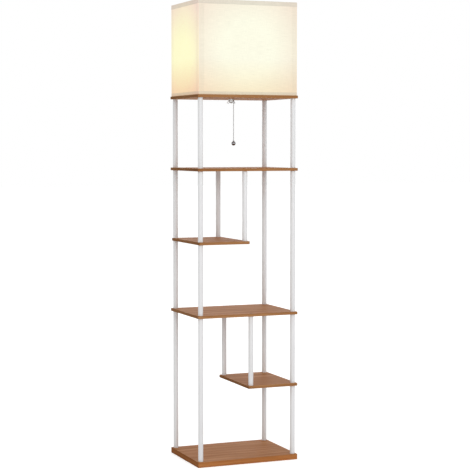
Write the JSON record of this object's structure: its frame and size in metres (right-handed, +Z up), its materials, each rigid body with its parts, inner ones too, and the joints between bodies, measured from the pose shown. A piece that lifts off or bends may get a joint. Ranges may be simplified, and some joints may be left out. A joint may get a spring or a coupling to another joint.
{
  "type": "shelf floor lamp",
  "caption": "Floor lamp with an open shelf stand of wood boards on white metal tubes, a box-shaped linen shade and a pull chain switch.",
  "frame": {"origin": "on the floor, under the middle of the base board", "axes": "+X along the front to the right, +Y to the back, +Z up"},
  "size_m": [0.35, 0.26, 1.5],
  "materials": {
    "board": "satin wood grain laminate",
    "tube": "satin white lacquer",
    "screw": "zinc plated",
    "brown_screw": "matt brown",
    "linen": "woven linen on a stiff lining",
    "hem": "woven linen, folded",
    "wire": "satin white lacquer",
    "zinc": "zinc plated",
    "holder": "nickel plated",
    "fibre": "matt fibre",
    "phenolic": "matt",
    "brass": "bright",
    "black_glass": "gloss",
    "bulb_cap": "bright",
    "globe": "frosted",
    "chain": "bright",
    "ball": "mirror bright"
  },
  "bodies": {
    "stand": {"base_board": "board", "base_bolts": "screw", "centre_contact": "brass", "chain_outlet": "holder", "half_shelf_bolts": "screw", "lamp_nipple": "zinc", "lampholder_cap": "holder", "lampholder_lining": "fibre", "lampholder_shell": "holder", "lower_centre_post_back": "tube", "lower_centre_post_front": "tube", "lower_half_shelf": "board", "lower_washer": "zinc", "middle_shelf": "board", "screw_shell": "brass", "shade_bottom_hem": "hem", "shade_bottom_ring": "wire", "shade_panel": "linen", "shade_top_hem": "hem", "shade_top_ring": "wire", "shade_uprights": "wire", "shelf_bolts": "brown_screw", "switch_body": "phenolic", "top_board": "board", "top_bolts": "screw", "tube_back_left_1": "tube", "tube_back_left_2": "tube", "tube_back_left_3": "tube", "tube_back_left_4": "tube", "tube_back_right_1": "tube", "tube_back_right_2": "tube", "tube_back_right_3": "tube", "tube_back_right_4": "tube", "tube_front_left_1": "tube", "tube_front_left_2": "tube", "tube_front_left_3": "tube", "tube_front_left_4": "tube", "tube_front_right_1": "tube", "tube_front_right_2": "tube", "tube_front_right_3": "tube", "tube_front_right_4": "tube", "upper_centre_post_back": "tube", "upper_centre_post_front": "tube", "upper_half_shelf": "board", "upper_shelf": "board", "upper_washer": "zinc", "wing_nut": "zinc"},
    "bulb": {"bulb_globe": "globe", "bulb_screw_cap": "bulb_cap", "bulb_insulator": "black_glass", "bulb_end_contact": "brass"},
    "pull_lead": {"lead_chain": "chain"},
    "pull_link": {"pull_connector": "chain"},
    "pull_drop": {"drop_chain": "chain", "pull_ball": "ball"}
  },
  "joints": [
    {"name": "bulb_unscrew", "type": "hinge", "parent": "stand", "child": "bulb", "pos_m": [0, 0.0215, 1.25], "axis": [0, 0, 1], "range_deg": [0, 1080]},
    {"name": "switch_pull", "type": "slide", "parent": "stand", "child": "pull_lead", "axis": [0, 0, -1], "range_m": [0, 0.008], "stiffness_N_per_m": 800, "springref_m": -0.002},
    {"name": "chain_swing_side", "type": "hinge", "parent": "pull_lead", "child": "pull_link", "pos_m": [0, 0, 1.184], "axis": [0, 1, 0], "range_deg": [-60, 60]},
    {"name": "chain_swing_front", "type": "hinge", "parent": "pull_link", "child": "pull_drop", "pos_m": [0, 0, 1.1766], "axis": [1, 0, 0], "range_deg": [-60, 45]}
  ]
}
